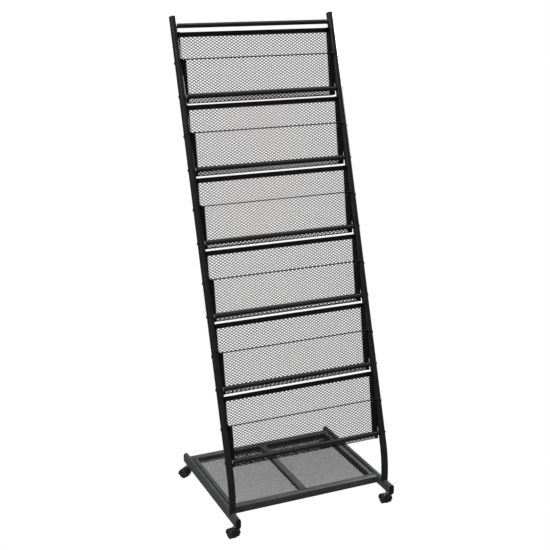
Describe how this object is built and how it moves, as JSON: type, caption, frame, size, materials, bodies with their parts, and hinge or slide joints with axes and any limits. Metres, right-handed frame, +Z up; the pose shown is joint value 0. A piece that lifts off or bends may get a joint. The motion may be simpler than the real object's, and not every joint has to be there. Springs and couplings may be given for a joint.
{
  "type": "mobile magazine rack",
  "caption": "Free-standing leaning magazine rack: stepped expanded-metal pockets between two bent tube uprights, on a shelf base with twin-wheel swivel castors.",
  "frame": {"origin": "on the floor, midway between the feet of the two uprights", "axes": "+X to the right as seen from the front, +Y to the back, +Z up"},
  "size_m": [0.5029, 0.4406, 1.3302],
  "materials": {
    "tube_paint": "satin black powder coat",
    "base_paint": "satin black powder coat",
    "mesh_paint": "satin black powder coat",
    "shelf_mesh_paint": "satin black powder coat",
    "plate_paint": "satin black powder coat",
    "plug_plastic": "matte black",
    "screw_black": "black zinc",
    "plated_steel": "bright zinc plate",
    "castor_plastic": "semi-gloss black nylon",
    "wheel_plastic": "matte black nylon"
  },
  "bodies": {
    "frame": {"left_upright": "tube_paint", "right_upright": "tube_paint", "upright_end_plugs": "plug_plastic", "top_crossbar": "tube_paint", "left_base_rail": "base_paint", "right_base_rail": "base_paint", "rail_end_plugs": "plug_plastic", "shelf_frame": "base_paint", "shelf_mesh": "shelf_mesh_paint", "mesh_basket_1": "mesh_paint", "mesh_basket_2": "mesh_paint", "mesh_basket_3": "mesh_paint", "mesh_basket_4": "mesh_paint", "mesh_basket_5": "mesh_paint", "mesh_basket_6": "mesh_paint", "left_plate_1": "plate_paint", "left_plate_2": "plate_paint", "left_plate_3": "plate_paint", "left_plate_4": "plate_paint", "left_plate_5": "plate_paint", "left_plate_6": "plate_paint", "right_plate_1": "plate_paint", "right_plate_2": "plate_paint", "right_plate_3": "plate_paint", "right_plate_4": "plate_paint", "right_plate_5": "plate_paint", "right_plate_6": "plate_paint", "rim_wire_1": "mesh_paint", "rim_wire_2": "mesh_paint", "rim_wire_3": "mesh_paint", "rim_wire_4": "mesh_paint", "rim_wire_5": "mesh_paint", "rim_wire_6": "mesh_paint", "tie_bar_1": "tube_paint", "tie_bar_2": "tube_paint", "tie_bar_3": "tube_paint", "tie_bar_4": "tube_paint", "tie_bar_5": "tube_paint", "tie_bar_6": "tube_paint", "tie_bar_inserts": "plated_steel", "pocket_screws": "screw_black", "plate_nuts": "screw_black", "rail_rivet_nuts": "plated_steel", "castor_stems": "plated_steel"},
    "front_left_castor": {"front_left_castor_housing": "castor_plastic", "front_left_castor_axle": "plated_steel"},
    "front_left_wheel_a_body": {"front_left_wheel_a": "wheel_plastic"},
    "front_left_wheel_b_body": {"front_left_wheel_b": "wheel_plastic"},
    "front_right_castor": {"front_right_castor_housing": "castor_plastic", "front_right_castor_axle": "plated_steel"},
    "front_right_wheel_a_body": {"front_right_wheel_a": "wheel_plastic"},
    "front_right_wheel_b_body": {"front_right_wheel_b": "wheel_plastic"},
    "rear_left_castor": {"rear_left_castor_housing": "castor_plastic", "rear_left_castor_axle": "plated_steel"},
    "rear_left_wheel_a_body": {"rear_left_wheel_a": "wheel_plastic"},
    "rear_left_wheel_b_body": {"rear_left_wheel_b": "wheel_plastic"},
    "rear_right_castor": {"rear_right_castor_housing": "castor_plastic", "rear_right_castor_axle": "plated_steel"},
    "rear_right_wheel_a_body": {"rear_right_wheel_a": "wheel_plastic"},
    "rear_right_wheel_b_body": {"rear_right_wheel_b": "wheel_plastic"}
  },
  "joints": [
    {"name": "front_left_swivel", "type": "hinge", "parent": "frame", "child": "front_left_castor", "pos_m": [-0.23, -0.021, 0.03], "axis": [0, 0, 1], "continuous": true},
    {"name": "front_left_wheel_a_roll", "type": "hinge", "parent": "front_left_castor", "child": "front_left_wheel_a_body", "pos_m": [-0.2325, -0.00926, 0.013], "axis": [0.9781, 0.2079, 0], "continuous": true},
    {"name": "front_left_wheel_b_roll", "type": "hinge", "parent": "front_left_castor", "child": "front_left_wheel_b_body", "pos_m": [-0.2325, -0.00926, 0.013], "axis": [0.9781, 0.2079, 0], "continuous": true},
    {"name": "front_right_swivel", "type": "hinge", "parent": "frame", "child": "front_right_castor", "pos_m": [0.23, -0.021, 0.03], "axis": [0, 0, 1], "continuous": true},
    {"name": "front_right_wheel_a_roll", "type": "hinge", "parent": "front_right_castor", "child": "front_right_wheel_a_body", "pos_m": [0.23, -0.009, 0.013], "axis": [1, 0, 0], "continuous": true},
    {"name": "front_right_wheel_b_roll", "type": "hinge", "parent": "front_right_castor", "child": "front_right_wheel_b_body", "pos_m": [0.23, -0.009, 0.013], "axis": [1, 0, 0], "continuous": true},
    {"name": "rear_left_swivel", "type": "hinge", "parent": "frame", "child": "rear_left_castor", "pos_m": [-0.23, 0.355, 0.03], "axis": [0, 0, 1], "continuous": true},
    {"name": "rear_left_wheel_a_roll", "type": "hinge", "parent": "rear_left_castor", "child": "rear_left_wheel_a_body", "pos_m": [-0.23739, 0.36446, 0.013], "axis": [0.788, 0.6157, 0], "continuous": true},
    {"name": "rear_left_wheel_b_roll", "type": "hinge", "parent": "rear_left_castor", "child": "rear_left_wheel_b_body", "pos_m": [-0.23739, 0.36446, 0.013], "axis": [0.788, 0.6157, 0], "continuous": true},
    {"name": "rear_right_swivel", "type": "hinge", "parent": "frame", "child": "rear_right_castor", "pos_m": [0.23, 0.355, 0.03], "axis": [0, 0, 1], "continuous": true},
    {"name": "rear_right_wheel_a_roll", "type": "hinge", "parent": "rear_right_castor", "child": "rear_right_wheel_a_body", "pos_m": [0.2259, 0.36628, 0.013], "axis": [0.9397, 0.342, 0], "continuous": true},
    {"name": "rear_right_wheel_b_roll", "type": "hinge", "parent": "rear_right_castor", "child": "rear_right_wheel_b_body", "pos_m": [0.2259, 0.36628, 0.013], "axis": [0.9397, 0.342, 0], "continuous": true}
  ]
}
